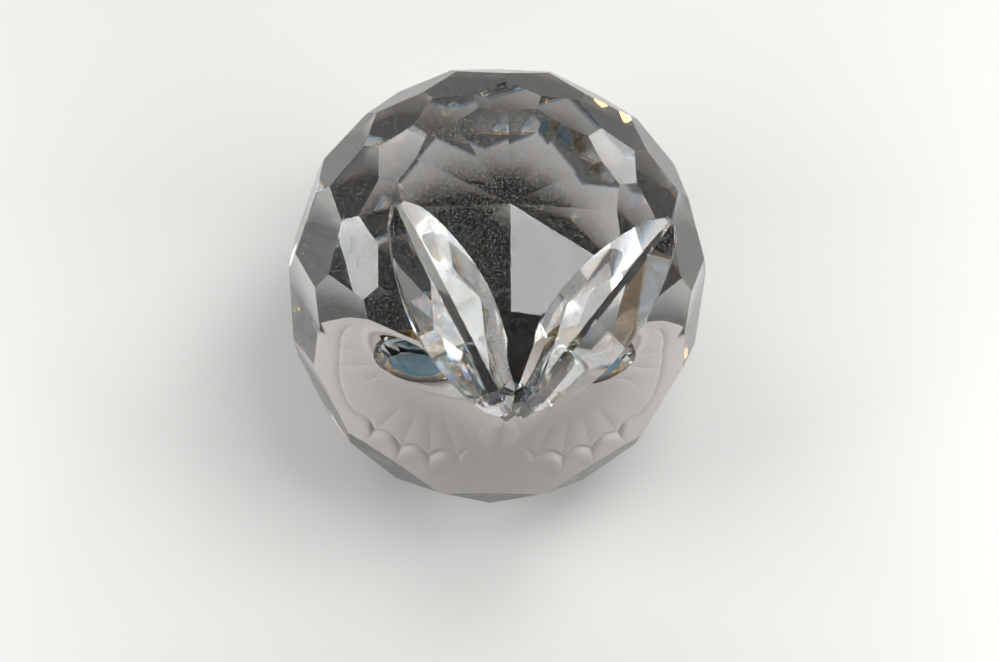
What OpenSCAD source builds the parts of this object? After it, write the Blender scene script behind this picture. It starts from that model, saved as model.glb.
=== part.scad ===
// Owl figurine of solid cut crystal, standing on a flat facet.
// +X is the right-hand side of someone facing the owl, the owl looks along -Y, +Z is up.
// The origin is the middle of the base facet. All sizes are in millimetres.

/* [Body] */
// Radius of the sphere that the upper facets touch
body_r = 64; // [62:0.5:66]
// Extra length of the body below its widest part
body_stretch = 30; // [26:1:34]
// Height of the widest part's lower end above the base facet
foot_height = 53; // [50:1:56]
// How much the top row of facets is cut below the sphere
crown_drop = 6.7; // [5:0.1:8]
// How much the second row of facets is cut below the sphere
shoulder_drop = 1.9; // [1:0.1:3]

/* [Face] */
// Sideways turn of each lower cheek plane
cheek_turn = 18; // [15:1:21]
// Upward tilt of each lower cheek plane
cheek_tilt = 22; // [19:1:25]
// Radius of each cheek's sideways rounding
cheek_round_r = 108; // [100:2:140]
// Sideways turn of each upper brow plane
brow_turn = 30; // [27:1:33]
// Radius of each lobe of the heart-shaped face outline
lobe_r = 28.5; // [27.5:0.25:29]
// Distance of each lobe's centre from the middle
lobe_x = 28.5; // [27.5:0.25:29]

/* [Eyes] */
// Diameter of an eye stone
eye_d = 27; // [25:0.5:27]
// Distance of an eye's centre from the middle
eye_x = 27; // [26:0.25:28]
// Diameter of the coloured foil behind a stone
iris_d = 18; // [16:0.5:20]

/* [Ear tufts] */
// Greatest width of a tuft stone
tuft_w = 26; // [22:1:27]
// Thickness of a tuft stone
tuft_t = 11; // [9:0.5:11]

/* [Hidden] */

LEFT = -1;
RIGHT = 1;
// Half the side of the blocks that stand for half-spaces
BIG = 200;
// Steps in a full turn: for plain round shapes, for wide shallow arcs and for the glue
round_fn = 96;
wide_fn = 180;
bead_fn = 24;
// Sizes below that follow the body are given for this body radius
DRAWN_R = 64;
grow = body_r / DRAWN_R;

// Facet rows: every row has this many facets, turned half a facet from the row before
row_count = 12;
facet_pitch = 360 / row_count;
// Upper rows step evenly down from the crown, lower rows follow the stretched lower half
upper_rows = 5;
lower_rows = 4;
upper_first = 9;
upper_step = 18;
lower_first = 95;
lower_step = 15;

// Height of the upper sphere's centre above the base facet
centre_z = foot_height + body_stretch;
drops = [crown_drop, shoulder_drop, 0, 0, 0];

// Face: the point at the bottom of each eye, where its cheek and brow planes meet
brow_tilt = 2;
cheek_point = [26.9, -40.7, 12.2] * grow;
// Where the rounded cheek touches its plane, sideways from the cheek point
cheek_crest = 6.4 * grow;
lobe_z = 16;
// Angle on the lobe's circle where the edge of the brow leaves it for the beak's tip
lobe_leave = 107;
beak_z = 25.6;
face_half_w = 75;
face_bottom = -80;

// Eyes: each stone's frame has its origin in the girdle plane and looks out along its own +Z
eye_r = eye_d / 2;
eye_turn = 8;
eye_tilt = 10;
eye_y = -38.4 * grow;
eye_z = 25.6 * grow;
eye_facets = 8;
girdle_half_t = 0.7;
table_h = 3.6;
crown_angle = 33;
star_angle = 19;
back_h = 2.2;
back_angle = 150;
// Widest part of the stars, as a share of the stone's radius, and its height over the girdle
star_share = 0.8;
star_rise = 2.2;
socket_gap = 0.2;
iris_t = 0.4;

// Ear tufts: the foot and the tip of each stone, from the upper sphere's centre
tuft_foot = [[-0.9, -58.9, 34.5], [3.5, -58.6, 32.9]];
tuft_tip = [[-35.1, -13.1, 89.3], [44.2, -17.6, 89.3]];
tuft_girdle = 0.5;
// Each end is cut off this far short of its point, by one facet across and one at each corner
tuft_blunt = 6;
blunt_turn = 50;
// Where a corner facet starts, as a share of the way out along the facet across the end
corner_share = 0.5;
// Long facets that rise from the girdle on each side
tuft_facets = 4;
// Easier facets along the upper ridge: where they start, as a share of the way out to the
// girdle, and their slope as a share of the long facets' slope
ridge_share = 0.45;
ridge_ease = 0.5;

// Glue: a film under the seat ground into each tuft, squeezed out into a bead along it
glue_t = 0.3;
bead_r = 3;
bead_from = 7;
bead_to = 24;
// How far the bead's two ends lie below the tuft's axis
bead_foot_sink = 2.6;
bead_head_sink = 5;

// Everything under a plane: turn and polar give the plane's outward direction
module under_plane(polar, turn, depth) {
    rotate([0, 0, turn])
        rotate([0, polar, 0])
            translate([-BIG, -BIG, depth - 2 * BIG])
                cube(2 * BIG);
}

// Everything in front of a plane through the origin
module beyond_plane(polar, turn) {
    rotate([0, 0, turn])
        rotate([0, polar, 0])
            translate([-BIG, -BIG, 0])
                cube(2 * BIG);
}

// A ring of equal facets around +Z
module facet_ring(polar, depth, count, first) {
    intersection_for (i = [0 : count - 1])
        under_plane(polar, first + i * 360 / count, depth);
}

// The faceted body before the face is carved, with a skin of even thickness if one is given
module body_blank(skin = 0) {
    intersection() {
        translate([0, 0, centre_z])
            intersection_for (k = [0 : upper_rows - 1])
                facet_ring(upper_first + k * upper_step, body_r - drops[k] * grow + skin,
                           row_count, (1 - k % 2) * facet_pitch / 2);
        translate([0, 0, foot_height])
            intersection_for (k = [0 : lower_rows - 1])
                facet_ring(lower_first + k * lower_step, body_r + skin,
                           row_count, (k % 2) * facet_pitch / 2);
        translate([-BIG, -BIG, 0])
            cube(2 * BIG);
    }
}

// Outline of the face seen from the front, measured from the upper sphere's centre
module heart_outline() {
    leave = [lobe_x + lobe_r * cos(lobe_leave), lobe_z + lobe_r * sin(lobe_leave)];
    for (side = [LEFT, RIGHT])
        translate([side * lobe_x, lobe_z])
            circle(r = lobe_r, $fn = round_fn);
    polygon([
        [0, beak_z],
        leave,
        [lobe_x + lobe_r, lobe_z],
        [face_half_w, lobe_z],
        [face_half_w, face_bottom],
        [-face_half_w, face_bottom],
        [-face_half_w, lobe_z],
        [-lobe_x - lobe_r, lobe_z],
        [-leave[0], leave[1]]
    ]);
}

// The rounded solid behind one cheek, from its cheek point
module cheek_round(side) {
    rotate([0, 0, -90 + side * cheek_turn])
        rotate([0, 90 - cheek_tilt, 0])
            translate([0, side * cheek_crest, -cheek_round_r])
                rotate([0, 90, 0])
                    cylinder(r = cheek_round_r, h = 2 * BIG, center = true, $fn = wide_fn);
}

// The wedge cut away in front of one cheek and brow
module cheek_cut(side) {
    translate([side * cheek_point[0], cheek_point[1], cheek_point[2] + centre_z])
        difference() {
            beyond_plane(90 - brow_tilt, -90 + side * brow_turn);
            cheek_round(side);
        }
}

module in_eye_frame(side) {
    translate([side * eye_x, eye_y, centre_z + eye_z])
        rotate([0, 0, -90 + side * eye_turn])
            rotate([0, 90 - eye_tilt, 0])
                rotate([0, 0, 90])
                    children();
}

module eye_socket(side) {
    floor_z = -back_h - iris_t;
    in_eye_frame(side)
        translate([0, 0, floor_z])
            cylinder(r = eye_r + socket_gap, h = body_r, $fn = round_fn);
}

module crystal_body() {
    color([0.93, 0.94, 0.95, 0.45])
        difference() {
            body_blank();
            intersection() {
                translate([0, 0, centre_z])
                    rotate([90, 0, 0])
                        linear_extrude(height = 2 * body_r)
                            scale(grow) heart_outline();
                union() {
                    cheek_cut(LEFT);
                    cheek_cut(RIGHT);
                }
            }
            eye_socket(LEFT);
            eye_socket(RIGHT);
        }
}

// A round brilliant with a low back, girdle in the XY plane
module eye_stone() {
    half = 180 / eye_facets;
    edge = eye_r * sin(crown_angle) + girdle_half_t * cos(crown_angle);
    star = eye_r * star_share * sin(star_angle) + (girdle_half_t + star_rise) * cos(star_angle);
    back = eye_r * sin(back_angle) - girdle_half_t * cos(back_angle);
    intersection() {
        cylinder(r = eye_r, h = 2 * BIG, center = true, $fn = round_fn);
        facet_ring(crown_angle, edge, 2 * eye_facets, 0);
        facet_ring(star_angle, star, eye_facets, half);
        facet_ring(back_angle, back, 2 * eye_facets, half);
        translate([-BIG, -BIG, -back_h])
            cube([2 * BIG, 2 * BIG, back_h + table_h]);
    }
}

module eye_crystal(side) {
    color([0.85, 0.93, 0.95, 0.5])
        in_eye_frame(side)
            eye_stone();
}

module iris_foil(side) {
    color([0.07, 0.38, 0.45])
        in_eye_frame(side)
            translate([0, 0, -back_h - iris_t])
                cylinder(d = iris_d, h = iris_t, $fn = round_fn);
}

// One side of a marquise: planes tangent to the arc from one pointed end to the other, and
// easier planes half a step on, which take the top off the upper ridge
module marquise_side(arc_r, arc_c, arc_half, way) {
    step = 2 * arc_half / (tuft_facets - 1);
    slope = (tuft_t / 2 - tuft_girdle) / (arc_r - arc_c * cos(step / 2));
    upper_slope = slope / (1 - ridge_share * (1 - ridge_ease));
    roof = atan(slope);
    upper_roof = atan(upper_slope);
    ridge_roof = atan(upper_slope * ridge_ease);
    intersection() {
        intersection_for (i = [0 : tuft_facets - 1]) {
            swing = -arc_half + i * step;
            reach = arc_r - arc_c * cos(swing);
            turn = way * 90 + swing;
            intersection() {
                under_plane(upper_roof, turn, reach * sin(upper_roof) + tuft_girdle * cos(upper_roof));
                under_plane(180 - roof, turn, reach * sin(roof) + tuft_girdle * cos(roof));
            }
        }
        intersection_for (i = [0 : tuft_facets - 2]) {
            swing = -arc_half + (i + 0.5) * step;
            reach = arc_r - arc_c * cos(swing);
            start = ridge_share * reach;
            height = tuft_girdle + (reach - start) * upper_slope;
            depth = start * sin(ridge_roof) + height * cos(ridge_roof);
            under_plane(ridge_roof, way * 90 + swing, depth);
        }
    }
}

// What two opposite ends of a stone leave between them
module between_ends() {
    intersection() {
        children();
        rotate([0, 0, 180])
            children();
    }
}

// A marquise stone along X with blunt ends, girdle in the XY plane
module marquise(length) {
    end_x = length / 2;
    half_l = end_x + tuft_blunt;
    half_w = tuft_w / 2;
    arc_r = (half_l * half_l + half_w * half_w) / (2 * half_w);
    arc_c = arc_r - half_w;
    arc_half = asin(half_l / arc_r);
    end_half_w = sqrt(arc_r * arc_r - end_x * end_x) - arc_c;
    corner = end_x * cos(blunt_turn) + corner_share * end_half_w * sin(blunt_turn);
    intersection() {
        translate([0, -arc_c, -tuft_t / 2])
            cylinder(r = arc_r, h = tuft_t, $fn = wide_fn);
        translate([0, arc_c, -tuft_t / 2])
            cylinder(r = arc_r, h = tuft_t, $fn = wide_fn);
        marquise_side(arc_r, arc_c, arc_half, 1);
        marquise_side(arc_r, arc_c, arc_half, -1);
        between_ends()
            under_plane(90, 0, end_x);
        between_ends()
            under_plane(90, blunt_turn, corner);
        between_ends()
            under_plane(90, -blunt_turn, corner);
    }
}

function pick(side, pair) = side == LEFT ? pair[0] : pair[1];

// Puts the X axis along a tuft, with its foot at the origin
module in_tuft_frame(side) {
    foot = pick(side, tuft_foot) * grow;
    run = pick(side, tuft_tip) * grow - foot;
    translate([foot[0], foot[1], foot[2] + centre_z])
        rotate([0, 0, atan2(run[1], run[0])])
            rotate([0, -asin(run[2] / norm(run)), 0])
                children();
}

// A tuft's stone, its underside ground to follow the body where it is glued on
module tuft_stone(side) {
    length = norm(pick(side, tuft_tip) - pick(side, tuft_foot)) * grow;
    difference() {
        in_tuft_frame(side)
            translate([length / 2, 0, 0])
                marquise(length);
        body_blank(glue_t);
    }
}

module ear_tuft(side) {
    color([0.90, 0.92, 0.94, 0.5])
        tuft_stone(side);
}

module tuft_glue(side) {
    color([0.80, 0.82, 0.80, 0.6])
        difference() {
            in_tuft_frame(side)
                hull() {
                    translate([bead_from, 0, -bead_foot_sink])
                        sphere(r = bead_r, $fn = bead_fn);
                    translate([bead_to, 0, -bead_head_sink])
                        sphere(r = bead_r, $fn = bead_fn);
                }
            body_blank();
            tuft_stone(side);
        }
}

crystal_body();
eye_crystal(LEFT);  // left_eye_crystal
eye_crystal(RIGHT);  // right_eye_crystal
iris_foil(LEFT);  // left_iris_foil
iris_foil(RIGHT);  // right_iris_foil
ear_tuft(LEFT);  // left_ear_tuft
ear_tuft(RIGHT);  // right_ear_tuft
tuft_glue(LEFT);  // left_tuft_glue
tuft_glue(RIGHT);  // right_tuft_glue
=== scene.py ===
"""A cut-crystal owl figurine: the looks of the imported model, around its CAD frame.

Lengths named in millimetres are scaled by MM, everything in Blender is in metres.
The owl looks along -Y, +X is the right-hand side of someone facing it, +Z is up.
"""

import math
import random

import bmesh
import bpy
from mathutils import Matrix, Vector
from mathutils.bvhtree import BVHTree


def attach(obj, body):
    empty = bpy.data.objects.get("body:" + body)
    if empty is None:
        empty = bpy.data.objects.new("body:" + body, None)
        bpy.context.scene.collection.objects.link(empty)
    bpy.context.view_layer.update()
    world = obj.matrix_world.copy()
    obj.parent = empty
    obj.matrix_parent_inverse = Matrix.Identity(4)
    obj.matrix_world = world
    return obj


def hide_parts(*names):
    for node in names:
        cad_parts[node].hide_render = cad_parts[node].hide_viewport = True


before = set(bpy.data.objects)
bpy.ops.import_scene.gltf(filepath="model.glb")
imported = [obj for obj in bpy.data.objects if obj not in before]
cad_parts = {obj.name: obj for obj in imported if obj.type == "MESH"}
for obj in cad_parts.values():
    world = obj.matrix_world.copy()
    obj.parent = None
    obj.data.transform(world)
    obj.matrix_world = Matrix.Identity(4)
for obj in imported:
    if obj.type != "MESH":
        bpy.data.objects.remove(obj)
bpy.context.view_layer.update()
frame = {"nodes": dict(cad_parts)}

MM = 0.001
LEFT, RIGHT = -1, 1
SIDES = {LEFT: "left", RIGHT: "right"}
# Side of the block that the body is cut from, and the distance below which points are one
BIG = 400.0
WELD = 0.01 * MM
WELD_PASSES = 2
CUT_TOLERANCE = 1e-5

# Body, as the CAD cuts it
BODY_R = 64.0
FOOT_Z = 53.0
CENTRE_Z = 83.0
ROW_COUNT = 12
UPPER_DROPS = (6.7, 1.9, 0.0, 0.0, 0.0)
UPPER_FIRST, UPPER_STEP = 9.0, 18.0
LOWER_ROWS = 4
LOWER_FIRST, LOWER_STEP = 95.0, 15.0

# Face planes and heart outline, from the upper sphere's centre
CHEEK_POINT = Vector((26.9, -40.7, 12.2))
CHEEK_TURN, CHEEK_TILT = 18.0, 22.0
BROW_TURN, BROW_TILT = 30.0, 2.0
# Sideways rounding of the cheeks: its middle, and how fast it falls away from there
CHEEK_CREST_X = 33.0
CHEEK_CURVE = 0.0058
# Width over which cheek and brow run into each other, and the two cheeks at the middle
FACE_BLEND = 5.0
RIDGE_SOFT = 5.0
RIDGE_HEIGHTS = (18.0, -4.0)
LOBE_R, LOBE_X, LOBE_Z = 28.5, 28.5, 16.0
LOBE_LEAVE = 107.0
BEAK_TOP_Z = 25.6

# Eyes
EYE_D = 27.0
EYE_CENTRE = Vector((27.0, -38.4, 25.6))
EYE_TURN, EYE_TILT = 8.0, 10.0
BACK_H = 2.2
SOCKET_GAP = 0.2
IRIS_T = 0.4
SOCKET_OUT = 40.0
# Height in the stone's frame where the socket's dark lining ends; the lining's near-black is painted
# shade with painted gold glints
SHADED_LINING_TOP_Z = 0.9

# Camera: the photograph's viewing angle
CAMERA_AT = Vector((-58.3, -317.1, 921.9))
CAMERA_FORWARD = Vector((0.0656, 0.3328, -0.9407))
CAMERA_UP = Vector((-0.0099, 0.9429, 0.3328))
LENS = 100.9
SENSOR_W = 36

# Lead crystal: its index, and the two ends of its spread with the light that each bends
CRYSTAL_IOR = 1.545
SPECTRUM = ((1.532, (1.4, 1, 0.6)), (1.558, (0.6, 1, 1.4)))
DUST_SCALE = 2800
# Share of dust where it is thinnest and thickest, and the noise that each belongs to
DUST_SHARES = (0.008, 0.5)
DUST_NOISE = (0.55, 0.8)
DUST_COLOUR = (0.8, 0.78, 0.75)

# Studio lamps: azimuth from +X towards +Y and elevation in degrees, distance and size in metres, watts
LAMPS = [
    ("softbox_above", 22, 78, 0.6, (0.22, 0.22), 1.6),
    ("softbox_right", -9, 22, 0.45, (0.3, 0.22), 2.0),
    ("softbox_left", 190, 24, 0.45, (0.3, 0.22), 2.1),
    ("softbox_back_right", 45, 30, 0.5, (0.2, 0.2), 0.9),
    ("softbox_back_left", 130, 30, 0.5, (0.2, 0.2), 0.6),
]
WORLD = 0.07
WORLD_COLOUR = (0.9, 0.93, 1.0)
FLOOR = (0.6, 0.59, 0.575)
FLOOR_HALF = 8000
FLOOR_DROP = 0.1
# Light paths, long enough to pass through both ear tufts and the body
BOUNCES = 24
GLOSSY_BOUNCES = 16


# ---------------------------------------------------------------- helpers

def direction(polar, turn):
    """Unit vector at an angle from +Z, turned about Z from +X, in degrees."""
    p, t = math.radians(polar), math.radians(turn)
    return Vector((math.sin(p) * math.cos(t), math.sin(p) * math.sin(t), math.cos(p)))


def clipped_solid(planes, start=BIG):
    """A convex solid: a big cube cut by each plane, given as a point and an outward normal."""
    bm = bmesh.new()
    bmesh.ops.create_cube(bm, size=start)
    for point, normal in planes:
        geom = bm.verts[:] + bm.edges[:] + bm.faces[:]
        bmesh.ops.bisect_plane(
            bm, geom=geom, dist=CUT_TOLERANCE, plane_co=point, plane_no=normal, clear_outer=True
        )
        rim = [e for e in bm.edges if e.is_boundary]
        if rim:
            bmesh.ops.holes_fill(bm, edges=rim, sides=0)
    bmesh.ops.recalc_face_normals(bm, faces=bm.faces[:])
    return bm


def to_object(bm, name, materials=(), place=Matrix.Identity(4)):
    """Turns a bmesh in millimetres into an object in metres."""
    mesh = bpy.data.meshes.new(name)
    bmesh.ops.transform(bm, matrix=Matrix.Scale(MM, 4) @ place, verts=bm.verts[:])
    bm.to_mesh(mesh)
    bm.free()
    obj = bpy.data.objects.new(name, mesh)
    bpy.context.scene.collection.objects.link(obj)
    for material in materials:
        mesh.materials.append(material)
    return obj


def cut_away(obj, cutter):
    """Boolean difference, applied; the cutter is removed."""
    mod = obj.modifiers.new("cut", "BOOLEAN")
    mod.operation = "DIFFERENCE"
    mod.object = cutter
    mod.solver = "EXACT"
    mod.material_mode = "TRANSFER"
    with bpy.context.temp_override(object=obj, active_object=obj):
        bpy.ops.object.modifier_apply(modifier=mod.name)
    bpy.data.objects.remove(cutter, do_unlink=True)


def weld(obj):
    """Leaves only clean triangles and quads: the cuts make slivers and faces of many corners."""
    bm = bmesh.new()
    bm.from_mesh(obj.data)
    for _ in range(WELD_PASSES):
        bmesh.ops.remove_doubles(bm, verts=bm.verts[:], dist=WELD)
        bmesh.ops.dissolve_degenerate(bm, edges=bm.edges[:], dist=WELD)
        bmesh.ops.triangulate(bm, faces=[f for f in bm.faces if len(f.verts) > 4])
    bm.to_mesh(obj.data)
    bm.free()


def smoothstep(low, high, x):
    t = min(1.0, max(0.0, (x - low) / (high - low)))
    return t * t * (3 - 2 * t)


# ---------------------------------------------------------------- materials

def new_material(name):
    mat = bpy.data.materials.new(name)
    mat.use_nodes = True
    nodes, links = mat.node_tree.nodes, mat.node_tree.links
    return mat, nodes, links, nodes["Principled BSDF"]


def crystal_material(name, dusty=False):
    """Clear lead crystal that bends cool light more than warm, with fine dust on it if asked."""
    mat, nodes, links, unused = new_material(name)
    nodes.remove(unused)
    output = nodes["Material Output"]
    bent = nodes.new("ShaderNodeMixShader")
    bent.inputs["Fac"].default_value = 0.5
    for slot, (ior, colour) in enumerate(SPECTRUM, start=1):
        bend = nodes.new("ShaderNodeBsdfRefraction")
        bend.inputs["Color"].default_value = (*colour, 1)
        bend.inputs["Roughness"].default_value = 0.0
        bend.inputs["IOR"].default_value = ior
        links.new(bend.outputs["BSDF"], bent.inputs[slot])
    mirror = nodes.new("ShaderNodeBsdfGlossy")
    mirror.inputs["Roughness"].default_value = 0.0
    share = nodes.new("ShaderNodeFresnel")
    share.inputs["IOR"].default_value = CRYSTAL_IOR
    surface = nodes.new("ShaderNodeMixShader")
    links.new(share.outputs["Fac"], surface.inputs["Fac"])
    links.new(bent.outputs["Shader"], surface.inputs[1])
    links.new(mirror.outputs["BSDF"], surface.inputs[2])
    if dusty:
        surface = dusted(nodes, links, surface)
    links.new(surface.outputs["Shader"], output.inputs["Surface"])
    return mat


def dusted(nodes, links, clean):
    """Fine specks of dust in a faint haze, over another shader."""
    coords = nodes.new("ShaderNodeTexCoord")
    specks = nodes.new("ShaderNodeTexNoise")
    specks.inputs["Scale"].default_value = DUST_SCALE
    specks.inputs["Detail"].default_value = 2
    ramp = nodes.new("ShaderNodeMapRange")
    ramp.inputs["From Min"].default_value, ramp.inputs["From Max"].default_value = DUST_NOISE
    ramp.inputs["To Min"].default_value, ramp.inputs["To Max"].default_value = DUST_SHARES
    haze = nodes.new("ShaderNodeBsdfDiffuse")
    haze.inputs["Color"].default_value = (*DUST_COLOUR, 1)
    mix = nodes.new("ShaderNodeMixShader")
    links.new(coords.outputs["Object"], specks.inputs["Vector"])
    links.new(specks.outputs["Fac"], ramp.inputs["Value"])
    links.new(ramp.outputs["Result"], mix.inputs["Fac"])
    links.new(clean.outputs["Shader"], mix.inputs[1])
    links.new(haze.outputs["BSDF"], mix.inputs[2])
    return mix


FROST_DARK, FROST_LIGHT = (0.58, 0.555, 0.525), (0.68, 0.655, 0.62)
FROST_SCALE = 900
FROST_THROUGH = 0.25
FROST_BUMP, FROST_BUMP_H = 0.15, 0.1 * MM
FROST_ROUGH, FROST_IOR = 0.5, 1.5


def frosted_material():
    """Etched crystal: a satin white surface that also lets light through."""
    mat, nodes, links, p = new_material("frosted_crystal")
    coords = nodes.new("ShaderNodeTexCoord")
    grain = nodes.new("ShaderNodeTexNoise")
    grain.inputs["Scale"].default_value = FROST_SCALE
    grain.inputs["Detail"].default_value = 4
    tone = nodes.new("ShaderNodeValToRGB")
    tone.color_ramp.elements[0].color = (*FROST_DARK, 1)
    tone.color_ramp.elements[1].color = (*FROST_LIGHT, 1)
    bump = nodes.new("ShaderNodeBump")
    bump.inputs["Strength"].default_value = FROST_BUMP
    bump.inputs["Distance"].default_value = FROST_BUMP_H
    through = nodes.new("ShaderNodeBsdfTranslucent")
    mix = nodes.new("ShaderNodeMixShader")
    mix.inputs["Fac"].default_value = FROST_THROUGH
    p.inputs["Roughness"].default_value = FROST_ROUGH
    p.inputs["IOR"].default_value = FROST_IOR
    links.new(coords.outputs["Object"], grain.inputs["Vector"])
    links.new(grain.outputs["Fac"], tone.inputs["Fac"])
    links.new(grain.outputs["Fac"], bump.inputs["Height"])
    links.new(bump.outputs["Normal"], p.inputs["Normal"])
    links.new(tone.outputs["Color"], p.inputs["Base Color"])
    links.new(tone.outputs["Color"], through.inputs["Color"])
    links.new(p.outputs["BSDF"], mix.inputs[1])
    links.new(through.outputs["BSDF"], mix.inputs[2])
    links.new(mix.outputs["Shader"], nodes["Material Output"].inputs["Surface"])
    return mat


def mottled_material(name, dark, light, scale, rough, metal=0.0, spread=0.12):
    """A finish whose colour and gloss drift a little over the surface."""
    mat, nodes, links, p = new_material(name)
    coords = nodes.new("ShaderNodeTexCoord")
    noise = nodes.new("ShaderNodeTexNoise")
    noise.inputs["Scale"].default_value = scale
    noise.inputs["Detail"].default_value = 5
    tone = nodes.new("ShaderNodeValToRGB")
    tone.color_ramp.elements[0].position = 0.35
    tone.color_ramp.elements[0].color = (*dark, 1)
    tone.color_ramp.elements[1].position = 0.65
    tone.color_ramp.elements[1].color = (*light, 1)
    gloss = nodes.new("ShaderNodeMapRange")
    gloss.inputs["To Min"].default_value = rough - spread
    gloss.inputs["To Max"].default_value = rough + spread
    p.inputs["Metallic"].default_value = metal
    links.new(coords.outputs["Object"], noise.inputs["Vector"])
    links.new(noise.outputs["Fac"], tone.inputs["Fac"])
    links.new(noise.outputs["Fac"], gloss.inputs["Value"])
    links.new(tone.outputs["Color"], p.inputs["Base Color"])
    links.new(gloss.outputs["Result"], p.inputs["Roughness"])
    return mat


# ---------------------------------------------------------------- body

def body_planes():
    upper, lower = Vector((0, 0, CENTRE_Z)), Vector((0, 0, FOOT_Z))
    pitch = 360 / ROW_COUNT
    for k, drop in enumerate(UPPER_DROPS):
        for i in range(ROW_COUNT):
            n = direction(UPPER_FIRST + k * UPPER_STEP, (i + (1 - k % 2) / 2) * pitch)
            yield upper + n * (BODY_R - drop), n
    for k in range(LOWER_ROWS):
        for i in range(ROW_COUNT):
            n = direction(LOWER_FIRST + k * LOWER_STEP, (i + (k % 2) / 2) * pitch)
            yield lower + n * BODY_R, n
    yield Vector((0, 0, 0)), Vector((0, 0, -1))


def plane_y(turn, tilt, side, x, z):
    """Y of a face plane through the cheek point, at a place in the front view."""
    n = direction(90 - tilt, -90 + side * turn)
    p = Vector((side * CHEEK_POINT.x, CHEEK_POINT.y, CHEEK_POINT.z))
    return p.y - (n.x * (x - p.x) + n.z * (z - p.z)) / n.y


def face_y(x, z):
    """Y of the face before its relief: a flat brow over a cheek that is rounded sideways."""
    side = LEFT if x < 0 else RIGHT
    soft = RIDGE_SOFT * smoothstep(*RIDGE_HEIGHTS, z)
    x = side * math.sqrt(x * x + soft * soft)
    cheek = plane_y(CHEEK_TURN, CHEEK_TILT, side, x, z)
    cheek += CHEEK_CURVE * (abs(x) - CHEEK_CREST_X) ** 2
    brow = plane_y(BROW_TURN, BROW_TILT, side, x, z)
    near = max(0.0, 1 - abs(cheek - brow) / FACE_BLEND)
    return min(cheek, brow) - near * near * FACE_BLEND / 4


# Feathers fan out at an even pitch from a point below each eye, out to a crease. Lengths are in
# millimetres and angles in degrees, up from the fan's outer side. A pair is the range over which
# something comes in, from its first value to its second.
FAN_X, FAN_Z = 22.0, 14.0
FAN_TOP, FAN_END = (34.0, 20.0), (-138.0, -122.0)
FEATHER_PITCH = 15.0
FEATHER_FROM = 14.0
# The feathers' swirl round the eye
SWIRL, SWIRL_START_R = 10.0, 12.0
SWIRL_REACH, SWIRL_ANGLES = (16.0, 4.0), (-60.0, -20.0)
# Where the carving below the eye takes over from the carving beside it
LOW_ANGLES = (-42.0, -60.0)
CREASE_SIDE_R, CREASE_LOW_R = 28.5, 35.5
CREASE_ANGLES = (0.0, -55.0)
SCALLOP_H = 3.2
GROOVE_DEPTH, GROOVE_W = 0.55, 1.0
# Width of the crease beside the eye, as a share of its width below
SIDE_WIDTH = 0.6
# Strength of the crease and the ruff beside the eye, as a share of that below
SIDE_SHARE = 0.3
# The ruff outside the crease
RUFF_H = 0.7
RUFF_RISE, RUFF_FALL = (0.0, 2.6), (3.0, 11.0)
# The row of beads on the ruff; BEAD_LEVEL is the part of each that lies below the ruff
BEAD_H, BEAD_ROUND, BEAD_LEVEL = 0.55, 0.5, 0.8
BEAD_RISE, BEAD_FALL = (0.4, 2.0), (4.0, 8.0)
# Thin grooves beside the eye, and soft broad feathers below it
SIDE_DEPTH, SIDE_SHARP, SIDE_GROOVES = 0.45, 0.3, (-34.0, -18.0)
FEATHER_H, FEATHER_LEVEL, FEATHER_FADE = 0.3, 0.5, (15.0, 28.0)
# Feathers stay clear of the eye and stop at the crease
EYE_CLEAR, CREASE_CLEAR = (16.5, 21.0), (1.0, -1.5)
LIP_R, LIP_H, LIP_W = 15.4, 0.45, 1.4
MIDDLE_PLAIN = (5.0, 18.0)


def in_fan(x, z):
    """A place's distance and angle from its fan's point, and how far across a feather it is."""
    out, up = abs(x) - FAN_X, z - FAN_Z
    r = math.hypot(out, up)
    a = math.degrees(math.atan2(up, out))
    a = a - 360 if a > 90 else a
    swirl = SWIRL * smoothstep(*SWIRL_REACH, r - SWIRL_START_R) * smoothstep(*SWIRL_ANGLES, a)
    arch = abs(math.sin(math.pi * (FEATHER_FROM - a + swirl) / FEATHER_PITCH))
    return r, a, arch


def ruff_relief(d, arch, low):
    """The crease, the ruff outside it and the beads on the ruff, at a distance past the crease."""
    strength = SIDE_SHARE + (1 - SIDE_SHARE) * low
    width = GROOVE_W * (SIDE_WIDTH + (1 - SIDE_WIDTH) * low)
    crease = -GROOVE_DEPTH * strength * math.exp(-((d / width) ** 2))
    ruff = RUFF_H * strength * smoothstep(*RUFF_RISE, d) * (1 - smoothstep(*RUFF_FALL, d))
    bead = BEAD_H * low * (arch ** BEAD_ROUND - BEAD_LEVEL)
    return crease + ruff + bead * smoothstep(*BEAD_RISE, d) * (1 - smoothstep(*BEAD_FALL, d))


def feather_relief(r, a, arch, low):
    """Thin grooves beside the eye and soft feathers below it."""
    grooves = SIDE_DEPTH * smoothstep(*SIDE_GROOVES, a) * (arch ** SIDE_SHARP - 1)
    return grooves + FEATHER_H * low * (arch - FEATHER_LEVEL) * smoothstep(*FEATHER_FADE, r)


def relief(x, z):
    """How far the carving stands proud of the plain face, in millimetres."""
    eye_r = math.hypot(abs(x) - EYE_CENTRE.x, z - EYE_CENTRE.z)
    r, a, arch = in_fan(x, z)
    low = smoothstep(*LOW_ANGLES, a)
    crease_r = CREASE_SIDE_R + (CREASE_LOW_R - CREASE_SIDE_R) * smoothstep(*CREASE_ANGLES, a)
    d = r - crease_r + SCALLOP_H * arch * low
    inside = smoothstep(*EYE_CLEAR, eye_r) * smoothstep(*CREASE_CLEAR, d)
    carving = ruff_relief(d, arch, low) + inside * feather_relief(r, a, arch, low)
    carving *= smoothstep(*FAN_TOP, a) * smoothstep(*FAN_END, a) * smoothstep(*MIDDLE_PLAIN, abs(x))
    return carving + LIP_H * math.exp(-(((eye_r - LIP_R) / LIP_W) ** 2))


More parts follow.
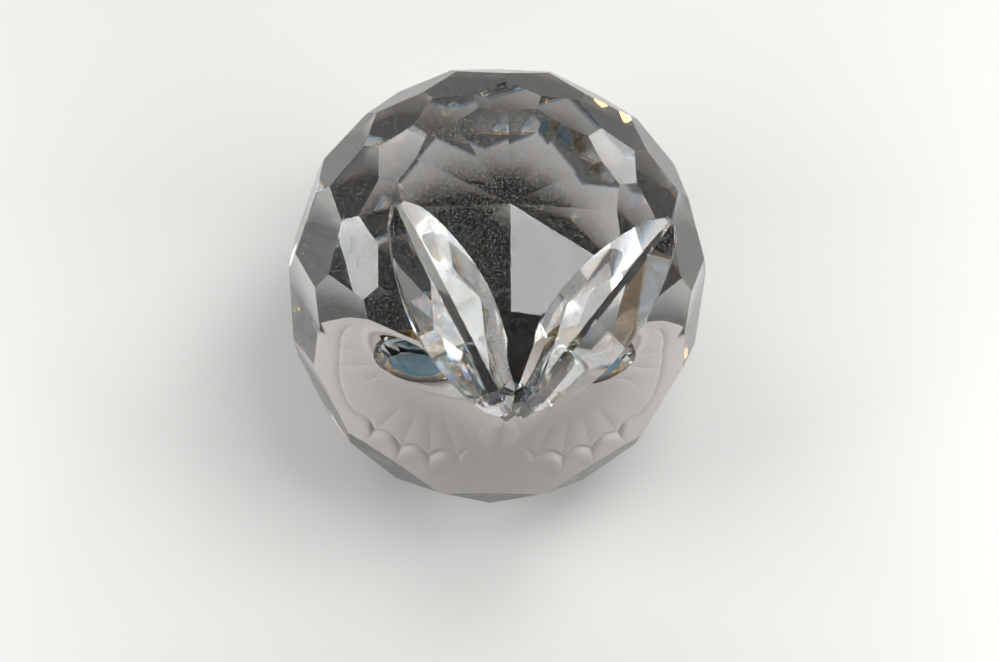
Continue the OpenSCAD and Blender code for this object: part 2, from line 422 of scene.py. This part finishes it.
# The beak: a low kite-shaped wedge down the middle, widest in the lower half
BEAK_START_Z, BEAK_WIDEST_Z, BEAK_TIP_Z = 20.0, -6.0, -24.0
BEAK_TOP_HALF, BEAK_HALF = 2.0, 7.0
BEAK_H = 1.0
BEAK_RISE = (24.0, 6.0)


def beak(x, z):
    """How far the beak stands proud of the plain face."""
    if z > BEAK_WIDEST_Z:
        down = min(1.0, max(0.0, (BEAK_START_Z - z) / (BEAK_START_Z - BEAK_WIDEST_Z)))
        half = BEAK_TOP_HALF + (BEAK_HALF - BEAK_TOP_HALF) * down
    else:
        half = BEAK_HALF * max(0.0, (z - BEAK_TIP_Z) / (BEAK_WIDEST_Z - BEAK_TIP_Z))
    if abs(x) >= half:
        return 0.0
    return BEAK_H * (half / BEAK_HALF) * (1 - abs(x) / half) * smoothstep(*BEAK_RISE, z)


def heart_top(x):
    """Height of the outline's upper edge over a place across the face."""
    ax = abs(x)
    leave_x = LOBE_X + LOBE_R * math.cos(math.radians(LOBE_LEAVE))
    leave_z = LOBE_Z + LOBE_R * math.sin(math.radians(LOBE_LEAVE))
    if ax < leave_x:
        return BEAK_TOP_Z + (leave_z - BEAK_TOP_Z) * ax / leave_x
    if ax < LOBE_X + LOBE_R:
        return LOBE_Z + math.sqrt(max(0.0, LOBE_R ** 2 - (ax - LOBE_X) ** 2))
    return LOBE_Z


CUTTER_HALF_W, CUTTER_BOTTOM, CUTTER_FRONT = 60.0, -42.0, -120.0
CUTTER_STEP, CUTTER_ROWS = 0.5, 180


def face_cutter():
    """Everything in front of the face, as a dense block whose back is the relief."""
    bm = bmesh.new()
    columns = int(2 * CUTTER_HALF_W / CUTTER_STEP) + 1
    xs = [-CUTTER_HALF_W + i * CUTTER_STEP for i in range(columns)]
    bottom, rows = CUTTER_BOTTOM, CUTTER_ROWS
    back, front = [], []
    for x in xs:
        top = heart_top(x)
        col_b, col_f = [], []
        for j in range(rows + 1):
            z = bottom + (top - bottom) * j / rows
            y = face_y(x, z) - relief(x, z) - beak(x, z)
            col_b.append(bm.verts.new((x, y, z + CENTRE_Z)))
            if j in (0, rows):
                col_f.append(bm.verts.new((x, CUTTER_FRONT, z + CENTRE_Z)))
        back.append(col_b)
        front.append(col_f)
    for i in range(len(xs) - 1):
        for j in range(rows):
            bm.faces.new((back[i][j], back[i][j + 1], back[i + 1][j + 1], back[i + 1][j]))
        bm.faces.new((back[i][0], back[i + 1][0], front[i + 1][0], front[i][0]))
        bm.faces.new((back[i][rows], front[i][1], front[i + 1][1], back[i + 1][rows]))
        bm.faces.new((front[i][0], front[i + 1][0], front[i + 1][1], front[i][1]))
    for i in (0, -1):
        bm.faces.new([*back[i], front[i][1], front[i][0]])
    bmesh.ops.recalc_face_normals(bm, faces=bm.faces[:])
    return bm


def eye_frame(side):
    """The stone's own frame: origin in its girdle plane, +Z looking out."""
    at = Vector((side * EYE_CENTRE.x, EYE_CENTRE.y, EYE_CENTRE.z + CENTRE_Z))
    turn = Matrix.Rotation(math.radians(-90 + side * EYE_TURN), 4, "Z")
    tilt = Matrix.Rotation(math.radians(90 - EYE_TILT), 4, "Y")
    up = Matrix.Rotation(math.radians(90), 4, "Z")
    return Matrix.Translation(at) @ turn @ tilt @ up


def socket_cutter(segments=96):
    """The round bore for one eye stone, with an edge where its dark metal lining ends. The lining's
    near-black is painted shade and its gold flecks are painted glints.
    """
    radius = EYE_D / 2 + SOCKET_GAP
    low, high = -BACK_H - IRIS_T, SOCKET_OUT
    bm = bmesh.new()
    bmesh.ops.create_cone(
        bm, cap_ends=True, segments=segments, radius1=radius, radius2=radius, depth=high - low
    )
    bmesh.ops.translate(bm, verts=bm.verts[:], vec=(0, 0, (high + low) / 2))
    geom = bm.verts[:] + bm.edges[:] + bm.faces[:]
    lining_top = Vector((0, 0, SHADED_LINING_TOP_Z))
    bmesh.ops.bisect_plane(bm, geom=geom, plane_co=lining_top, plane_no=(0, 0, 1))
    for face in bm.faces:
        in_lining = face.calc_center_median().z < SHADED_LINING_TOP_Z
        face.material_index = 1 if in_lining else 0
    return bm


def build_body(polished, frosted, lining_shade_glints):
    body = to_object(clipped_solid(body_planes()), "owl_body", (polished,))
    cutter = to_object(face_cutter(), "face_cutter", (frosted,))
    cut_away(body, cutter)
    for side in SIDES:
        cutter = to_object(socket_cutter(), "socket", (frosted, lining_shade_glints), eye_frame(side))
        cut_away(body, cutter)
    weld(body)
    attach(body, "root")
    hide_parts("crystal_body")


# ---------------------------------------------------------------- glue

GLUE_RIPPLE = 0.05 * MM
GLUE_WAVES = (2100.0, 1700.0, 2600.0)
BUBBLE_COUNT = 12
BUBBLE_R = (0.15 * MM, 0.45 * MM)
BUBBLE_TRIES = 4000
# Least distance from a bubble's middle to the bead's surface, in radii
BUBBLE_CLEAR = 1.3
GLUE_WELD = 1e-7


def bubble_places(bm, draw):
    """Centres and radii of bubbles for a bead, clear of each other and of its surface.

    The nearest face decides which side of the surface a place is on. That is wrong beyond the
    bead's sharp edges, so about half of the bubbles lie outside it.
    """
    tree = BVHTree.FromBMesh(bm)
    low = [min(v.co[k] for v in bm.verts) for k in range(3)]
    high = [max(v.co[k] for v in bm.verts) for k in range(3)]
    places = []
    for _ in range(BUBBLE_TRIES):
        at = Vector([draw.uniform(a, b) for a, b in zip(low, high)])
        radius = draw.uniform(*BUBBLE_R)
        near, normal, _, gap = tree.find_nearest(at)
        inside = (at - near).dot(normal) < 0 and gap > radius * BUBBLE_CLEAR
        if inside and all((at - other).length > radius + r for other, r in places):
            places.append((at, radius))
        if len(places) == BUBBLE_COUNT:
            break
    return places


def glue_bead(side_name, node, material):
    """A squeezed-out bead: the CAD node's form, rippled inwards, with its air bubbles."""
    bm = bmesh.new()
    bm.from_mesh(node.data)
    bmesh.ops.remove_doubles(bm, verts=bm.verts[:], dist=GLUE_WELD)
    bmesh.ops.triangulate(bm, faces=bm.faces[:])
    bmesh.ops.subdivide_edges(bm, edges=bm.edges[:], cuts=1, use_grid_fill=True)
    bm.normal_update()
    for v, normal in [(v, v.normal.copy()) for v in bm.verts]:
        wave = sum(math.sin(k * c) for k, c in zip(GLUE_WAVES, v.co)) / 3
        v.co -= normal * GLUE_RIPPLE * (1 + wave)
    bm.normal_update()
    for at, radius in bubble_places(bm, random.Random(side_name)):
        bubble = bmesh.ops.create_icosphere(
            bm, subdivisions=2, radius=radius, matrix=Matrix.Translation(at)
        )
        faces = {f for v in bubble["verts"] for f in v.link_faces}
        bmesh.ops.reverse_faces(bm, faces=list(faces))
        for face in faces:
            face.smooth = True
    mesh = bpy.data.meshes.new(f"{side_name}_glue_bead")
    bm.to_mesh(mesh)
    bm.free()
    mesh.materials.append(material)
    bead = bpy.data.objects.new(mesh.name, mesh)
    bpy.context.scene.collection.objects.link(bead)
    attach(bead, "root")
    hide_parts(node.name)


# ---------------------------------------------------------------- scene

def surround_and_floor():
    world = bpy.data.worlds.new("studio")
    world.use_nodes = True
    world.node_tree.nodes["Background"].inputs["Color"].default_value = (*WORLD_COLOUR, 1)
    world.node_tree.nodes["Background"].inputs["Strength"].default_value = WORLD
    bpy.context.scene.world = world

    floor_paper = mottled_material("floor_paper", FLOOR, FLOOR, 40, 0.93, spread=0.03)
    bm = bmesh.new()
    bmesh.ops.create_grid(bm, x_segments=1, y_segments=1, size=FLOOR_HALF)
    bmesh.ops.translate(bm, verts=bm.verts[:], vec=(0, 0, -FLOOR_DROP))
    floor = to_object(bm, "floor", (floor_paper,))


def photo_camera():
    data = bpy.data.cameras.new("camera")
    data.lens = LENS
    data.sensor_width = SENSOR_W
    data.clip_start = 10 * MM
    camera = bpy.data.objects.new("camera", data)
    right = CAMERA_FORWARD.cross(CAMERA_UP).normalized()
    up = right.cross(CAMERA_FORWARD).normalized()
    basis = Matrix((right, up, -CAMERA_FORWARD.normalized())).transposed().to_4x4()
    camera.matrix_world = Matrix.Translation(CAMERA_AT * MM) @ basis
    bpy.context.scene.collection.objects.link(camera)
    bpy.context.scene.camera = camera


def light_paths():
    """How light is followed through the crystal, and how it is shown."""
    scene = bpy.context.scene
    scene.view_settings.view_transform = "Standard"
    scene.cycles.max_bounces = BOUNCES
    scene.cycles.transmission_bounces = BOUNCES
    scene.cycles.glossy_bounces = GLOSSY_BOUNCES
    scene.cycles.caustics_refractive = False
    scene.cycles.caustics_reflective = False


def lamp(name, azimuth, elevation, distance, size, power):
    target = Vector((0, 0, CENTRE_Z * MM))
    at = target + direction(90 - elevation, azimuth) * distance
    data = bpy.data.lights.new(name, "AREA")
    data.shape = "RECTANGLE"
    data.size, data.size_y = size
    data.energy = power
    obj = bpy.data.objects.new(name, data)
    obj.location = at
    obj.rotation_euler = (target - at).to_track_quat("-Z", "Y").to_euler()
    bpy.context.scene.collection.objects.link(obj)


# The lining and the foil: dark and light colour, size of the mottling, roughness, metallic. The lining
# is a reflective metal, but its near-black is painted shade for the dark band at the eye stone's edge,
# and its small gold flecks are painted glints.
SOCKET_LINING_SHADE_GLINTS = ((0.008, 0.005, 0.002), (0.7, 0.45, 0.08), 380, 0.2, 1.0)
FOIL = ((0.0, 0.2, 0.36), (0.002, 0.36, 0.55), 420, 0.42, 1.0)


def build_owl():
    crystal = crystal_material("polished_crystal", dusty=True)
    # The socket lining's finish is painted shade with painted gold glints on a reflective metal
    build_body(crystal, frosted_material(), mottled_material("socket_lining_painted_shade_glints", *SOCKET_LINING_SHADE_GLINTS))
    finishes = {
        "eye_crystal": crystal_material("eye_crystal_glass"),
        "iris_foil": mottled_material("iris_foil_teal", *FOIL),
        "ear_tuft": crystal,
    }
    glue = crystal_material("clear_glue")
    nodes = frame["nodes"]
    for name in SIDES.values():
        for part, material in finishes.items():
            for slot in nodes[f"{name}_{part}"].material_slots:
                slot.material = material
        glue_bead(name, nodes[f"{name}_tuft_glue"], glue)


surround_and_floor()
for lamp_values in LAMPS:
    lamp(*lamp_values)
photo_camera()
light_paths()
build_owl()
